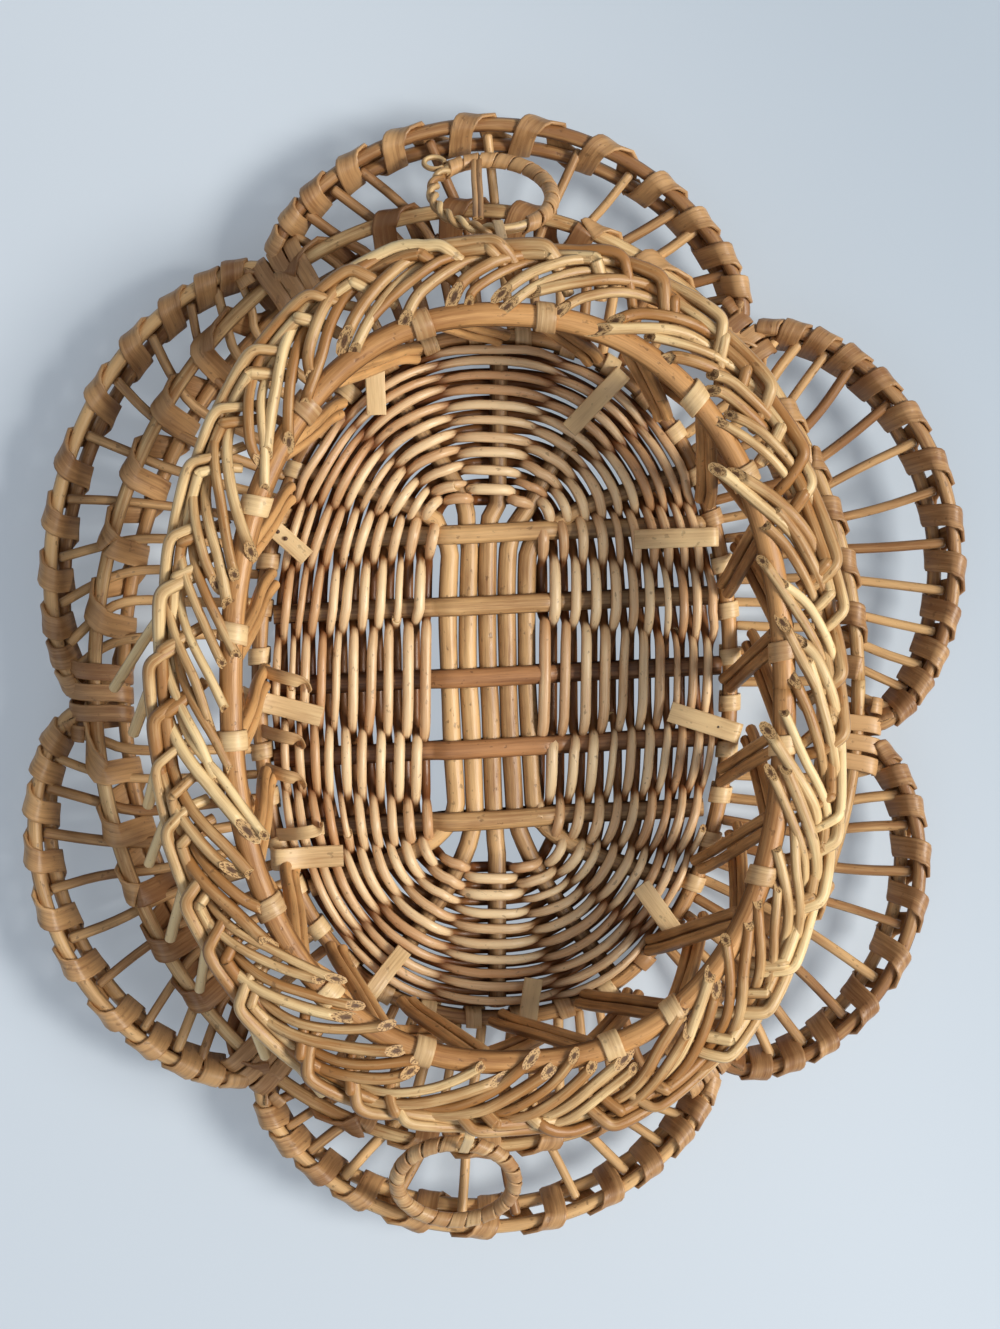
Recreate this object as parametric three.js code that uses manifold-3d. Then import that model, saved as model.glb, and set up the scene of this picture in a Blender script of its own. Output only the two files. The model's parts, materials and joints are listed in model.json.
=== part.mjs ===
// Hanging wicker basket: an oval basket of peeled willow with a plaited border,
// an open wall of leaning stake pairs, a double hoop with six spoked petals round it,
// and two skein-bound rings that swing on loops at the ends.
// Millimetres, +Z up, the basket standing on its base, X across it and Y along it.
import * as THREE from 'three';
import Module from 'manifold-3d';

const wasm = await Module();
wasm.setup();

// Driving dimensions

// Gap between pieces that lie against each other
const clearance = 0.3;

// Base: five long sticks threaded through five split cross sticks
const stickRadius = 3.5;
const longStickPitch = 7.4;
const longStickCount = 5;
const fanAngle = 27;
const fanStagger = 3;
const crossStickCount = 5;
const crossStickRadius = 3.7;
const splitArm = 2.2;
const splitTaper = 0.8;
const ribHeight = 6.5;

// Woven mat round the bare middle of the base
const matHalfWidth = 86.2;
const matHalfLength = 125.7;
const crossStickPitch = matHalfLength * 0.215;
const openingHalfWidth = 21;
const openingHalfLength = crossStickPitch * 2 + 12;
const openingFullness = 8;
const weaveRounds = 12;
const weaveLift = 1.7;
const weaveGroove = 2.1;
const weaverThickness = 2.6;

// Foot ring round the mat, and the rim hoop that the wall ends at
const footRadius = 3;
const rimHalfWidth = 98;
const rimHalfLength = 130;
const rimHeight = 74;
const rimRadius = 4.8;

// Stake pairs: the inner layer leans one way, the outer layer the other
const stakeRadius = 2.5;
const stakeCount = 20;
const stakeLean = 1;

// Plaited border of three strands, and how far its middle line stands outside the rim hoop
const borderOverhang = 15.6;
const borderEndOverhang = 16.9;
const borderHeight = 70;
const borderTilt = 24;
const plaitWaves = 14;
const plaitReach = 8;
const plaitRise = 4.2;
const strandWidth = 6.6;
const strandThickness = 4.8;

// Double hoop outside the basket, with the spokes passing between its two rods
const hoopHalfWidth = 139;
const hoopHalfLength = 169.5;
const hoopCentreX = -5;
const hoopHeight = 16;
const rodRadius = 2.6;
const rodSpread = 9.5;
const spokeRadius = 1.7;
const spokeSlope = 0.16;

// Petals: where each starts and ends round the hoop in degrees, the share of the longest
// reach that it has, and its spokes
const petalReach = 43.5;
const petals = [
  { name: 'right_upper', from: -7, to: 49, share: 1, spokes: 13 },
  { name: 'top', from: 49, to: 122, share: 0.793, spokes: 12 },
  { name: 'left_upper', from: 122, to: 182, share: 0.667, spokes: 11 },
  { name: 'left_lower', from: 182, to: 235, share: 0.88, spokes: 11 },
  { name: 'bottom', from: 235, to: 305, share: 0.782, spokes: 12 },
  { name: 'right_lower', from: 305, to: 353, share: 0.94, spokes: 10 },
];
const petalRoundness = 0.6;
const petalFan = 0.86;
const petalSteps = 11;
const rimCrowding = 0.08;
const outerRimMargin = 1.2;
const innerRimMargin = 2.5;
const endSpokeInset = 0.3;
const spokeSink = 0.6;
const spokeSetback = 2;

// Skein: flat split cane that binds the rims, the hoop and the rings
const skeinThickness = 0.8;
const skeinWidth = 4;
const hoopSkeinSlack = 0.55;
const petalSkeinSlack = 1;
const hoopSpokesPerTurn = 3;
const petalSpokesPerTurn = 2;

// Skein tabs that lie over the mat's edge, by the gap between stake pairs that each is in
const tabGaps = [1, 3, 6, 8, 10, 11, 13, 15, 17, 19];
const tabLength = 11;
const tabWidth = 5;

// Hanging rings: where each hangs, how far outside the border's outermost strand and how far
// it droops, and its bound stretch and turns
const ringRadius = 21.3;
const ringRodRadius = 1.8;
const ringSkeinWidth = 4.8;
const loopWidth = 3.4;
const hingeDown = 10;
const rings = [
  { name: 'top', x: -5.6, side: 1, out: 6, droop: 45, boundFrom: 0.08, boundTo: 0.62, turns: 11 },
  { name: 'bottom', x: -16, side: -1, out: 9.5, droop: 34, boundFrom: 0.06, boundTo: 0.94, turns: 18 },
];

const up = new THREE.Vector3(0, 0, 1);
const basket = new THREE.Group();

// Materials

function willow(colour, roughness = 0.6) {
  return new THREE.MeshStandardMaterial({ color: colour, roughness, metalness: 0 });
}

const paleWillow = willow(0xc9a56c);
const goldenWillow = willow(0xb98d52);
const brownWillow = willow(0x8d5f33, 0.5);
const redWillow = willow(0x9a6238, 0.55);
const skeinCane = willow(0xc49a66, 0.45);

// Shapes

function place(x, y, z) {
  return new THREE.Vector3(x, y, z);
}

function add(name, geometry, material, parent = basket) {
  geometry.computeVertexNormals();
  const mesh = new THREE.Mesh(geometry, material.clone());
  mesh.name = name;
  parent.add(mesh);
  return mesh;
}

// An oval with fuller sides than an ellipse: fullness 2 is an ellipse
class Oval extends THREE.Curve {
  constructor(halfWidth, halfLength, height, fullness = 2.3, centreX = 0) {
    super();
    Object.assign(this, { halfWidth, halfLength, height, fullness, centreX });
    this.arcLengthDivisions = 720;
  }

  getPoint(turn) {
    const cosine = Math.cos(turn * Math.PI * 2);
    const sine = Math.sin(turn * Math.PI * 2);
    const power = 2 / this.fullness;
    const x = this.halfWidth * Math.sign(cosine) * Math.abs(cosine) ** power;
    const y = this.halfLength * Math.sign(sine) * Math.abs(sine) ** power;
    return place(this.centreX + x, y, this.height);
  }

  // The turn at which the oval passes a point that lies on it
  turnAt(x, y) {
    const cosine = Math.sign(x) * Math.abs(x / this.halfWidth) ** (this.fullness / 2);
    const sine = Math.sign(y) * Math.abs(y / this.halfLength) ** (this.fullness / 2);
    const turn = Math.atan2(sine, cosine) / (Math.PI * 2);
    return turn < 0 ? turn + 1 : turn;
  }

  widthAt(y) {
    return this.halfWidth * (1 - Math.abs(y / this.halfLength) ** this.fullness) ** (1 / this.fullness);
  }

  lengthAt(x) {
    return this.halfLength * (1 - Math.abs(x / this.halfWidth) ** this.fullness) ** (1 / this.fullness);
  }

  outward(turn) {
    const step = 0.002;
    const along = this.getPoint(turn + step).sub(this.getPoint(turn - step));
    return along.cross(up).normalize();
  }

  outwardAt(fraction) {
    return this.getTangentAt(fraction).cross(up).normalize();
  }
}

// A closed skin over rings of points, each ring turning the same way about the path
function loft(rings, closed = false) {
  const sides = rings[0].length;
  const spans = closed ? rings.length : rings.length - 1;
  const faces = [];
  for (let i = 0; i < spans; i++) {
    const here = i * sides;
    const next = ((i + 1) % rings.length) * sides;
    for (let j = 0; j < sides; j++) {
      const k = (j + 1) % sides;
      faces.push(here + j, here + k, next + k, here + j, next + k, next + j);
    }
  }
  if (!closed) {
    const end = (rings.length - 1) * sides;
    for (let j = 1; j < sides - 1; j++) {
      faces.push(0, j + 1, j, end, end + j, end + j + 1);
    }
  }
  const geometry = new THREE.BufferGeometry();
  geometry.setAttribute('position', new THREE.Float32BufferAttribute(
    rings.flat().flatMap((point) => point.toArray()), 3));
  geometry.setIndex(faces);
  return geometry;
}

// Carries an outline along a path; facing(i) is the way that its second coordinate points
function sweep(path, outline, facing, closed = false) {
  const last = path.length - 1;
  const rings = path.map((point, i) => {
    const before = path[closed ? (i + last) % path.length : Math.max(i - 1, 0)];
    const after = path[closed ? (i + 1) % path.length : Math.min(i + 1, last)];
    const along = after.clone().sub(before).normalize();
    const side = facing(i).clone().cross(along).normalize();
    const top = along.clone().cross(side);
    return outline.map(([s, t]) => point.clone().addScaledVector(side, s).addScaledVector(top, t));
  });
  return loft(rings, closed);
}

// Corners of a flat strip at a place, which gives a point, the way across and the way it faces
function stripCorners({ point, across, face }, width) {
  const w = width / 2;
  const t = skeinThickness / 2;
  return [[w, -t], [-w, -t], [-w, t], [w, t]].map(([s, f]) =>
    point.clone().addScaledVector(across, s).addScaledVector(face, f));
}

function strip(places, width, closed = false) {
  return loft(places.map((at) => stripCorners(at, width)), closed);
}

function roundOutline(radius, sides) {
  return Array.from({ length: sides }, (_, j) => {
    const angle = (j / sides) * Math.PI * 2;
    return [radius * Math.cos(angle), radius * Math.sin(angle)];
  });
}

// Two rods side by side with the groove between them
function pairOutline(radius) {
  const groove = radius * 0.45;
  return [
    [0, -groove], [radius, -radius], [radius * 2, 0], [radius, radius],
    [0, groove], [-radius, radius], [-radius * 2, 0], [-radius, -radius],
  ];
}

function rod(path, radius, sides, closed = false) {
  return sweep(path, roundOutline(radius, sides), () => up, closed);
}

function ovalRod(oval, radius, sides, steps) {
  const path = Array.from({ length: steps }, (_, i) => oval.getPointAt(i / steps));
  return rod(path, radius, sides, true);
}

// Booleans

function solidOf(geometry) {
  return new wasm.Manifold(new wasm.Mesh({
    numProp: 3,
    vertProperties: geometry.getAttribute('position').array,
    triVerts: Uint32Array.from(geometry.getIndex().array),
  }));
}

function geometryOf(solid) {
  const mesh = solid.getMesh();
  const geometry = new THREE.BufferGeometry();
  geometry.setAttribute('position', new THREE.BufferAttribute(mesh.vertProperties, 3));
  geometry.setIndex(new THREE.BufferAttribute(mesh.triVerts, 1));
  return geometry;
}

function join(geometries) {
  return geometryOf(geometries.map(solidOf).reduce((whole, piece) => whole.add(piece)));
}

// Lines that the pieces share

const matEdge = new Oval(matHalfWidth, matHalfLength, ribHeight);
const matOpening = new Oval(openingHalfWidth, openingHalfLength, ribHeight, openingFullness);
const footSeat = footRadius + clearance;
const foot = new Oval(matHalfWidth + footSeat, matHalfLength + footSeat, ribHeight);
const rim = new Oval(rimHalfWidth, rimHalfLength, rimHeight);
const border = new Oval(
  rimHalfWidth + borderOverhang, rimHalfLength + borderEndOverhang, borderHeight, 2.2);
const hoop = new Oval(hoopHalfWidth, hoopHalfLength, hoopHeight, 2, hoopCentreX);

const longStickX = Array.from({ length: longStickCount },
  (_, i) => (i - (longStickCount - 1) / 2) * longStickPitch);
const crossStickY = Array.from({ length: crossStickCount },
  (_, i) => (i - (crossStickCount - 1) / 2) * crossStickPitch);

// Base sticks

// Where the end of a long stick meets the mat's edge, as a turn round it
function fanTurn(index, end) {
  const middle = (longStickCount - 1) / 2;
  const turn = 0.25 - (index - middle) * (fanAngle / 360);
  return end > 0 ? turn : 1 - turn;
}

function longStick(index) {
  const x = longStickX[index];
  const fromMiddle = Math.abs(index - (longStickCount - 1) / 2);
  const lastCross = crossStickY[crossStickCount - 1] + crossStickRadius;
  const bend = lastCross + clearance * 7 + fanStagger * ((longStickCount - 1) / 2 - fromMiddle);
  const tips = [-1, 1].map((end) => {
    const tip = matEdge.getPoint(fanTurn(index, end));
    const root = place(x, end * bend, ribHeight);
    return tip.lerp(root, clearance / tip.distanceTo(root));
  });
  const path = [
    tips[0], place(x, -bend, ribHeight), place(x, 0, ribHeight), place(x, bend, ribHeight), tips[1],
  ];
  return rod(path, stickRadius, 8);
}

// A cross stick is split in the middle, and its two arms pass over and under the long sticks
function crossStick(y) {
  const end = matEdge.widthAt(Math.abs(y) + crossStickRadius) - clearance;
  const slotHalf = (longStickCount - 1) / 2 * longStickPitch + stickRadius + clearance;
  const slotHeight = stickRadius + clearance;
  const swollen = slotHeight + splitArm;
  const stations = [
    [-end, crossStickRadius], [-slotHalf - splitTaper, crossStickRadius], [-slotHalf, swollen],
    [slotHalf, swollen], [slotHalf + splitTaper, crossStickRadius], [end, crossStickRadius],
  ];
  const outline = roundOutline(1, 8);
  const stick = loft(stations.map(([x, tall]) => outline.map(([s, t]) =>
    place(x, y + s * crossStickRadius, ribHeight + t * tall))));
  const slot = new THREE.BoxGeometry(slotHalf * 2, crossStickRadius * 4, slotHeight * 2);
  slot.translate(0, y, ribHeight);
  return geometryOf(solidOf(stick).subtract(boxSolid(slot)));
}

// BoxGeometry splits its corners, so its solid takes each corner once
function boxSolid(box) {
  box.computeBoundingBox();
  const { min, max } = box.boundingBox;
  const ring = (x) => [
    place(x, min.y, min.z), place(x, max.y, min.z), place(x, max.y, max.z), place(x, min.y, max.z),
  ];
  return solidOf(loft([ring(min.x), ring(max.x)]));
}

for (let i = 0; i < longStickCount; i++) {
  add(`base_long_stick_${i + 1}`, longStick(i), paleWillow);
}
crossStickY.forEach((y, i) => add(`base_cross_stick_${i + 1}`, crossStick(y), redWillow));

// Woven mat

// The ribs in order round the mat, each as its turn on the opening and on the edge
function matRibs() {
  const ribs = [];
  const crossRib = (y, side) => ribs.push([
    matOpening.turnAt(side * matOpening.widthAt(y), y), matEdge.turnAt(side * matEdge.widthAt(y), y),
  ]);
  const fanRib = (index, end) => ribs.push([
    matOpening.turnAt(longStickX[index], end * matOpening.lengthAt(longStickX[index])),
    fanTurn(index, end),
  ]);
  crossStickY.forEach((y) => crossRib(y, 1));
  for (let i = longStickCount - 1; i >= 0; i--) fanRib(i, 1);
  [...crossStickY].reverse().forEach((y) => crossRib(y, -1));
  for (let i = 0; i < longStickCount; i++) fanRib(i, -1);
  return ribs;
}

// Columns of the mat: one on each rib and one between it and the next
function matColumns() {
  const between = (a, b) => a + ((b - a + 1.5) % 1 - 0.5) / 2;
  const ribs = matRibs();
  return ribs.flatMap((rib, i) => {
    const next = ribs[(i + 1) % ribs.length];
    return [rib, [between(rib[0], next[0]), between(rib[1], next[1])]];
  });
}

function matPoint([openingTurn, edgeTurn], share, height) {
  const point = matOpening.getPoint(openingTurn).lerp(matEdge.getPoint(edgeTurn), share);
  point.z = height;
  return point;
}

// Upper weavers: each round rises over every second rib and dips under the others
function upperWeave() {
  const underside = ribHeight + crossStickRadius + clearance;
  const crown = underside + weaverThickness;
  const rings = matColumns().map((column, i) => {
    const points = [matPoint(column, 0, underside), matPoint(column, 1, underside)];
    for (let round = weaveRounds - 1; round >= 0; round--) {
      const onRib = i % 2 === 0;
      const over = (i / 2 + round) % 2 === 0;
      const dip = onRib ? (over ? 0 : weaveLift) : weaveLift / 2;
      points.push(matPoint(column, (round + 0.5) / weaveRounds, crown - dip));
      if (round > 0) points.push(matPoint(column, round / weaveRounds, crown - weaveGroove));
    }
    return points.reverse();
  });
  return loft(rings, true);
}

// Lower weavers: a flat-bottomed band that the basket stands on
function lowerWeave() {
  const crown = ribHeight - crossStickRadius - clearance;
  const rings = matColumns().map((column) => [
    matPoint(column, 0, 0), matPoint(column, 0, crown), matPoint(column, 1, crown),
    matPoint(column, 1, 0),
  ]);
  return loft(rings, true);
}

add('mat_upper_weave', upperWeave(), goldenWillow);
add('mat_lower_weave', lowerWeave(), goldenWillow);

// Wall

// A leaning stake pair through points given as [share of the climb from foot to rim, outward]
function stakePair(fraction, lean, stations) {
  const turnAt = (share) => (fraction + (lean * share) / stakeCount + 1) % 1;
  const path = stations.map(([share, out]) => {
    const turn = turnAt(share);
    return foot.getPointAt(turn).lerp(rim.getPointAt(turn), share)
      .addScaledVector(foot.outwardAt(turn), out);
  });
  const facing = foot.outwardAt(turnAt(0.5));
  return sweep(path, pairOutline(stakeRadius), () => facing);
}

const ringSteps = 40;
const wallHeight = rimHeight - ribHeight;
const layerGap = stakeRadius * 2 + clearance * 5;
const kneeShare = 0.13;
const innerTuck = 4.6;

function footRingWithInnerStakes() {
  const underRim = 1 - (rimRadius + clearance * 2) / wallHeight;
  const stations = [[0, clearance], [underRim, -innerTuck]];
  const pairs = Array.from({ length: stakeCount }, (_, i) =>
    stakePair(i / stakeCount, stakeLean, stations));
  return join([ovalRod(foot, footRadius, 6, ringSteps), ...pairs]);
}

function rimHoopWithOuterStakes() {
  const aboveFoot = (footRadius + clearance + stakeRadius / 2) / wallHeight;
  const stations = [
    [aboveFoot, footRadius], [kneeShare, layerGap], [1 - stakeRadius / wallHeight, layerGap - innerTuck],
  ];
  const pairs = Array.from({ length: stakeCount }, (_, i) =>
    stakePair((i + 0.5) / stakeCount, -stakeLean, stations));
  return join([ovalRod(rim, rimRadius, 6, ringSteps), ...pairs]);
}

add('foot_ring_inner_stakes', footRingWithInnerStakes(), redWillow);
add('rim_hoop_outer_stakes', rimHoopWithOuterStakes(), brownWillow);

// Plaited border

const tilt = THREE.MathUtils.degToRad(borderTilt);

// A point of the border band, across it and above it, and the way its face points
function borderFrame(fraction) {
  const outward = border.outwardAt(fraction);
  const across = outward.clone().multiplyScalar(Math.cos(tilt)).addScaledVector(up, -Math.sin(tilt));
  const face = outward.clone().multiplyScalar(Math.sin(tilt)).addScaledVector(up, Math.cos(tilt));
  return { point: border.getPointAt(fraction), outward, across, face };
}

function plaitStrand(index) {
  const steps = plaitWaves * 6;
  const faces = [];
  const path = Array.from({ length: steps }, (_, i) => {
    const fraction = (i + 0.5) / steps;
    const phase = Math.PI * 2 * (plaitWaves * fraction + index / 3);
    const { point, across, face } = borderFrame(fraction);
    faces.push(face);
    return point.addScaledVector(across, plaitReach * Math.sin(phase))
      .addScaledVector(face, plaitRise * Math.sin(phase * 2));
  });
  const w = strandWidth / 2;
  const t = strandThickness / 2;
  return sweep(path, [[-w, 0], [0, -t], [w, 0], [0, t]], (i) => faces[i], true);
}

for (let i = 0; i < 3; i++) add(`border_plait_strand_${i + 1}`, plaitStrand(i), paleWillow);

// Double hoop and petals

// Height of the spokes, which climb gently outward through the hoop
function spokeHeight(out) {
  return hoopHeight + spokeSlope * out;
}

// A point outside the hoop's middle line, at a height above the spokes
function collarPoint(degrees, out, above) {
  const turn = degrees / 360;
  const point = hoop.getPoint(turn).addScaledVector(hoop.outward(turn), out);
  point.z = spokeHeight(out) + above;
  return point;
}

const rodNest = rodRadius + spokeRadius + clearance;

function hoopRod(out, above, steps = 48) {
  const path = Array.from({ length: steps }, (_, i) => collarPoint((i * 360) / steps, out, above));
  return rod(path, rodRadius, 6, true);
}

add('outer_hoop_upper_rod', hoopRod(rodSpread / 2, rodNest), goldenWillow);
add('outer_hoop_lower_rod', hoopRod(-rodSpread / 2, -rodNest), brownWillow);

// How far out a petal's rim stands at a share of the way along it
function rimOut(petal, share, inset) {
  const start = rodSpread / 2 + rodRadius * 2 + clearance;
  const crown = petalReach * petal.share - inset;
  return start + (crown - start) * Math.sin(Math.PI * share) ** petalRoundness;
}

// Stations of a petal's rim rod round the hoop, closer together where it turns at its ends
function rimStations(petal, inset, margin) {
  return Array.from({ length: petalSteps + 1 }, (_, i) => {
    const even = i / petalSteps;
    const share = even - Math.sin(even * Math.PI * 2) * rimCrowding;
    const degrees = THREE.MathUtils.lerp(petal.from + margin, petal.to - margin, share);
    return { degrees, out: rimOut(petal, share, inset) };
  });
}

function stationAt(stations, share) {
  const at = THREE.MathUtils.clamp(share, 0, 1) * (stations.length - 1);
  const before = Math.min(Math.floor(at), stations.length - 2);
  const [here, next] = stations.slice(before, before + 2);
  return {
    degrees: THREE.MathUtils.lerp(here.degrees, next.degrees, at - before),
    out: THREE.MathUtils.lerp(here.out, next.out, at - before),
  };
}

const outerRimAbove = rodRadius + spokeRadius - clearance;
const innerRimAbove = -(rodRadius + spokeRadius - spokeSink);

function outerRimPoint(petal, share) {
  const { degrees, out } = stationAt(rimStations(petal, 0, outerRimMargin), share);
  return collarPoint(degrees, out, outerRimAbove);
}

function innerRimPoint(petal, share) {
  const { degrees, out } = stationAt(rimStations(petal, rodSpread, innerRimMargin), share);
  return collarPoint(degrees, out, innerRimAbove);
}

function rimRod(petal, pointAt) {
  const path = Array.from({ length: petalSteps + 1 }, (_, i) => pointAt(petal, i / petalSteps));
  return rod(path, rodRadius, 6);
}

function spokeShare(petal, index) {
  return (index + 0.5 + endSpokeInset) / (petal.spokes + endSpokeInset * 2);
}

// A spoke bends over the hoop's lower rod, closer to its neighbours than at the rim
function spokeBend(petal, index) {
  const middle = (petal.from + petal.to) / 2;
  const spread = (spokeShare(petal, index) - 0.5) * (petal.to - petal.from) * petalFan;
  return { degrees: middle + spread, out: -rodSpread / 2 };
}

// It butts on the foot ring, passes between the hoop's rods and ends under the outer rim
function spoke(petal, index) {
  const { degrees, out } = spokeBend(petal, index);
  const bend = collarPoint(degrees, out, 0);
  const butt = foot.getPoint(degrees / 360 + 1);
  butt.addScaledVector(foot.outward(degrees / 360), footRadius + clearance * 2);
  const rimEnd = outerRimPoint(petal, spokeShare(petal, index));
  rimEnd.addScaledVector(bend.clone().sub(rimEnd).setZ(0).normalize(), spokeSetback);
  rimEnd.z -= outerRimAbove;
  return rod([butt, bend, rimEnd], spokeRadius, 4);
}

for (const petal of petals) {
  const spokes = Array.from({ length: petal.spokes }, (_, i) => spoke(petal, i));
  add(`petal_${petal.name}_rim`, rimRod(petal, outerRimPoint), goldenWillow);
  add(`petal_${petal.name}_spokes`, join([rimRod(petal, innerRimPoint), ...spokes]), goldenWillow);
}

// Skein bindings

// One corner of a turn of skein round two rods: above both, behind the inner one, below both
// and outside the outer one, in that order
function skeinPlace(outer, inner, across, corner, slack) {
  const along = outer.clone().sub(inner).normalize();
  const rise = along.clone().cross(across).normalize();
  const below = rise.clone().negate();
  const face = [rise, rise, along.clone().negate(), below, below, along][corner];
  const centre = [outer, inner, inner, inner, outer, outer][corner];
  const reach = Math.SQRT2 * (rodRadius + slack) + skeinThickness / 2;
  return { point: centre.clone().addScaledVector(face, reach), across, face };
}

// Prints the least gap of a winding to itself, from corner to corner, one turn apart or more
function printLeastGap(name, places, width, perTurn) {
  const sections = places.map((at) => stripCorners(at, width));
  const gaps = sections.flatMap((near, i) => sections.slice(i + perTurn - 1).map((far) =>
    Math.min(...near.flatMap((corner) => far.map((other) => corner.distanceTo(other))))));
  const least = gaps.reduce((a, b) => Math.min(a, b));
  console.log(`${name}: least gap to itself ${least.toFixed(2)} mm`);
}

function addWinding(name, places, width, perTurn, parent) {
  printLeastGap(name, places, width, perTurn);
  add(name, strip(places, width), skeinCane, parent);
}

// Degrees of the gap after a spoke, counted round the whole hoop, at a distance outside it
function gapDegrees(index, out) {
  const spokes = petals.flatMap((petal) => Array.from({ length: petal.spokes }, (_, i) => {
    const bend = spokeBend(petal, i);
    const end = stationAt(rimStations(petal, 0, outerRimMargin), spokeShare(petal, i));
    const share = Math.max(0, (out - bend.out) / (end.out - bend.out));
    return THREE.MathUtils.lerp(bend.degrees, end.degrees, share);
  }));
  const spokeAt = (i) => spokes[i % spokes.length] + Math.floor(i / spokes.length) * 360;
  return (spokeAt(index) + spokeAt(index + 1)) / 2;
}

// The hoop's skein dips through one gap inside the hoop and comes up through the next outside
function hoopSkein() {
  const spokeCount = petals.reduce((sum, petal) => sum + petal.spokes, 0);
  const turns = Math.floor(spokeCount / hoopSpokesPerTurn);
  const places = [];
  for (let turn = 0; turn < turns; turn++) {
    const first = turn * hoopSpokesPerTurn;
    const inside = gapDegrees(first, -rodSpread);
    const outside = gapDegrees(first + 1, rodSpread);
    const between = (inside + outside) / 2;
    const after = (outside + gapDegrees(first + 2, rodSpread)) / 2;
    [inside, inside, between, outside, outside, after].forEach((degrees, corner) => {
      const outer = collarPoint(degrees, rodSpread / 2, rodNest);
      const inner = collarPoint(degrees, -rodSpread / 2, -rodNest);
      const across = hoop.getTangent((degrees / 360 + 1) % 1);
      places.push(skeinPlace(outer, inner, across, corner, hoopSkeinSlack));
    });
  }
  return places;
}

function petalSkein(petal) {
  const innerPoints = Array.from({ length: 201 }, (_, i) => innerRimPoint(petal, i / 200));
  const turns = Math.floor((petal.spokes - 4) / petalSpokesPerTurn);
  const first = Math.ceil(petal.spokes / 2 - turns) + 0.5;
  const places = [];
  for (let turn = 0; turn < turns; turn++) {
    const gap = first + turn * petalSpokesPerTurn;
    [gap, gap, gap, gap, gap, gap + 1].forEach((index, corner) => {
      const share = spokeShare(petal, index);
      const outer = outerRimPoint(petal, share);
      const bend = spokeBend(petal, index);
      const gapLine = new THREE.Line3(collarPoint(bend.degrees, bend.out, 0), outer);
      const offLine = (point) =>
        gapLine.closestPointToPoint(point, true, new THREE.Vector3()).distanceTo(point);
      const inner = innerPoints.reduce((best, point) => (offLine(point) < offLine(best) ? point : best));
      const across = outerRimPoint(petal, share + 0.03).sub(outerRimPoint(petal, share - 0.03));
      places.push(skeinPlace(outer, inner, across.setZ(0).normalize(), corner, petalSkeinSlack));
    });
  }
  return places;
}

addWinding('outer_hoop_skein', hoopSkein(), skeinWidth, 6);
for (const petal of petals) {
  addWinding(`petal_${petal.name}_skein`, petalSkein(petal), skeinWidth, 6);
}

// A tab of skein from the mat over its edge to the foot ring
function skeinTab(gap) {
  const turn = (gap + 0.5) / stakeCount;
  const outward = foot.outwardAt(turn);
  const across = outward.clone().cross(up);
  const onMat = ribHeight + crossStickRadius + weaverThickness + clearance * 2 + skeinThickness / 2;
  const onFoot = ribHeight + footRadius + clearance + skeinThickness / 2;
  const profile = [
    [-footSeat - tabLength, onMat, up], [-footSeat, onMat, up],
    [-clearance, onFoot, outward.clone().add(up).normalize()],
  ];
  return strip(profile.map(([out, height, face]) => {
    const point = foot.getPointAt(turn).addScaledVector(outward, out);
    return { point: point.setZ(height), across, face };
  }), tabWidth);
}

tabGaps.forEach((gap, i) => add(`mat_skein_tab_${i + 1}`, skeinTab(gap), skeinCane));

// Hanging rings

// The eye of the plait nearest to a ring's place, as a fraction of the way round the border
function loopEye(ring) {
  const eyes = Array.from({ length: plaitWaves * 3 }, (_, i) => (i / 3 + 0.25) / plaitWaves);
  const target = place(ring.x, ring.side * border.halfLength, borderHeight);
  const distance = (eye) => border.getPointAt(eye).distanceTo(target);
  return eyes.reduce((best, eye) => (distance(eye) < distance(best) ? eye : best));
}

// A loop of skein round the plait's outermost strand and the ring
function hangingLoop(strand, hinge, across) {
  const drop = hinge.clone().sub(strand).normalize();
  const side = drop.clone().cross(across);
  const bend = Math.cos(Math.PI / 6);
  const belt = (centre, radius, degrees) => degrees.map((angle) => {
    const turn = THREE.MathUtils.degToRad(angle);
    const face = drop.clone().multiplyScalar(Math.cos(turn)).addScaledVector(side, Math.sin(turn));
    const reach = (radius + clearance * 2 + skeinThickness / 2) / bend;
    return { point: centre.clone().addScaledVector(face, reach), across, face };
  });
  return strip([
    ...belt(strand, strandWidth / 2, [90, 150, 210, 270]),
    ...belt(hinge, ringRodRadius, [270, 330, 30, 90]),
  ], loopWidth, true);
}

// A point of a ring in its own frame: the ring hangs from the origin, reaching along Y
function ringPoint(share) {
  const angle = share * Math.PI * 2;
  return place(ringRadius * Math.sin(angle), ringRadius * (1 - Math.cos(angle)), 0);
}

function ringRod() {
  const steps = 24;
  return rod(Array.from({ length: steps }, (_, i) => ringPoint(-i / steps)), ringRodRadius, 5, true);
}

function ringSkein(ring) {
  const perTurn = 6;
  const steps = ring.turns * perTurn;
  const reach = (ringRodRadius + clearance * 2 + skeinThickness / 2) / Math.cos(Math.PI / perTurn);
  return Array.from({ length: steps + 1 }, (_, i) => {
    const share = THREE.MathUtils.lerp(ring.boundFrom, ring.boundTo, i / steps);
    const angle = share * Math.PI * 2;
    const turn = (i / perTurn) * Math.PI * 2;
    const inward = place(-Math.sin(angle), Math.cos(angle), 0);
    const face = inward.multiplyScalar(Math.cos(turn)).addScaledVector(up, Math.sin(turn));
    const across = place(-Math.cos(angle), -Math.sin(angle), 0);
    return { point: ringPoint(share).addScaledVector(face, reach), across, face };
  });
}

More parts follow.
